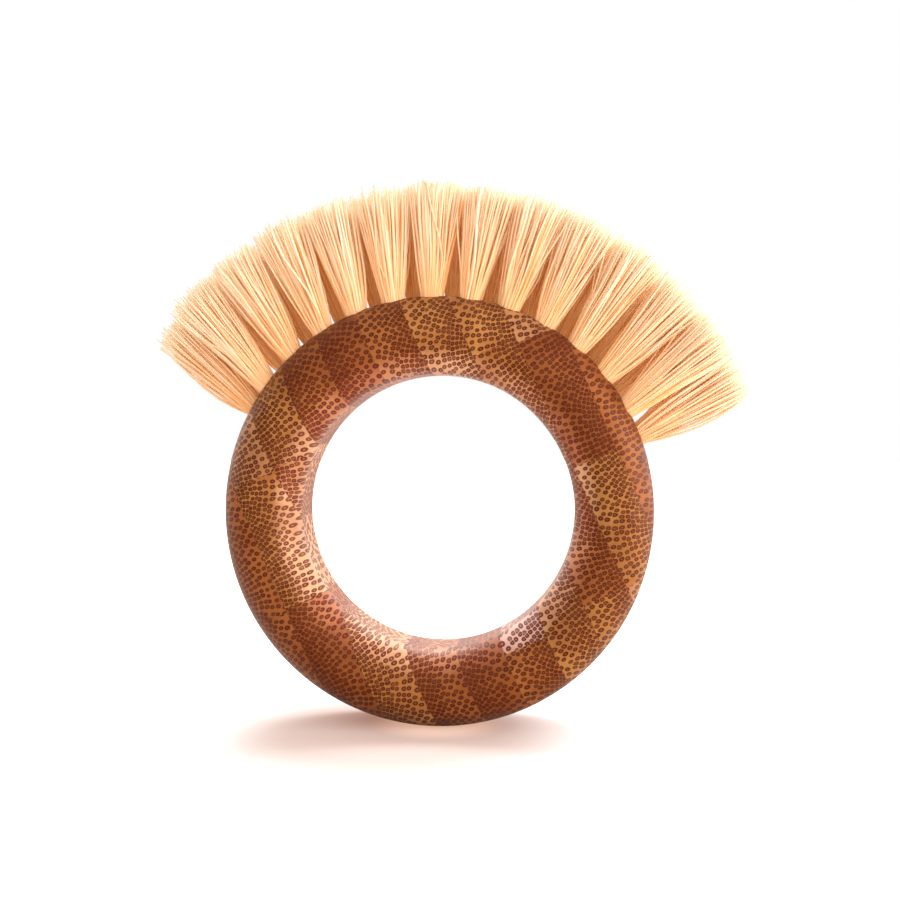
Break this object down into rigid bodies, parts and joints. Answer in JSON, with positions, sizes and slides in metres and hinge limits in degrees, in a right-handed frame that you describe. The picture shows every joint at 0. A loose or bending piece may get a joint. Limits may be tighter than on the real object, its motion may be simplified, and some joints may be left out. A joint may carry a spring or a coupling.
{
  "type": "vegetable brush",
  "caption": "Ring vegetable brush: a thick laminated bamboo ring held through its finger hole, with rows of stiff plant-fibre tufts fanned over its top.",
  "frame": {"origin": "centre of the finger hole, on its axis at half the ring's depth", "axes": "+Y along the finger hole's axis from the pictured front to the back, +Z from the hole to the middle of the bristle fringe, +X to the right as seen from the front"},
  "size_m": [0.1173, 0.024, 0.1056],
  "materials": {
    "bamboo": "clear semi-gloss lacquer over carbonised bamboo end grain",
    "bristle": "stiff uncoated plant fibre, pale straw",
    "anchor_wire": "bright cut wire"
  },
  "bodies": {
    "root": {"bamboo_strip_01": "bamboo", "bamboo_strip_02": "bamboo", "bamboo_strip_03": "bamboo", "bamboo_strip_04": "bamboo", "bamboo_strip_05": "bamboo", "bamboo_strip_06": "bamboo", "bamboo_strip_07": "bamboo", "bamboo_strip_08": "bamboo", "bamboo_strip_09": "bamboo", "bamboo_strip_10": "bamboo", "bamboo_strip_11": "bamboo", "bamboo_strip_12": "bamboo", "bamboo_strip_13": "bamboo", "bamboo_strip_14": "bamboo", "bamboo_strip_15": "bamboo", "bamboo_strip_16": "bamboo", "bamboo_strip_17": "bamboo", "bamboo_strip_18": "bamboo", "bamboo_strip_19": "bamboo", "bamboo_strip_20": "bamboo", "bamboo_strip_21": "bamboo", "bamboo_strip_22": "bamboo", "bamboo_strip_23": "bamboo", "bamboo_strip_24": "bamboo", "bamboo_strip_25": "bamboo", "bamboo_strip_26": "bamboo", "tuft_front_01": "bristle", "tuft_front_02": "bristle", "tuft_front_03": "bristle", "tuft_front_04": "bristle", "tuft_front_05": "bristle", "tuft_front_06": "bristle", "tuft_front_07": "bristle", "tuft_front_08": "bristle", "tuft_front_09": "bristle", "tuft_front_10": "bristle", "tuft_front_11": "bristle", "tuft_front_12": "bristle", "tuft_back_01": "bristle", "tuft_back_02": "bristle", "tuft_back_03": "bristle", "tuft_back_04": "bristle", "tuft_back_05": "bristle", "tuft_back_06": "bristle", "tuft_back_07": "bristle", "tuft_back_08": "bristle", "tuft_back_09": "bristle", "tuft_back_10": "bristle", "tuft_back_11": "bristle", "tuft_end_01": "bristle", "tuft_end_02": "bristle", "anchor_wires": "anchor_wire"}
  },
  "joints": []
}
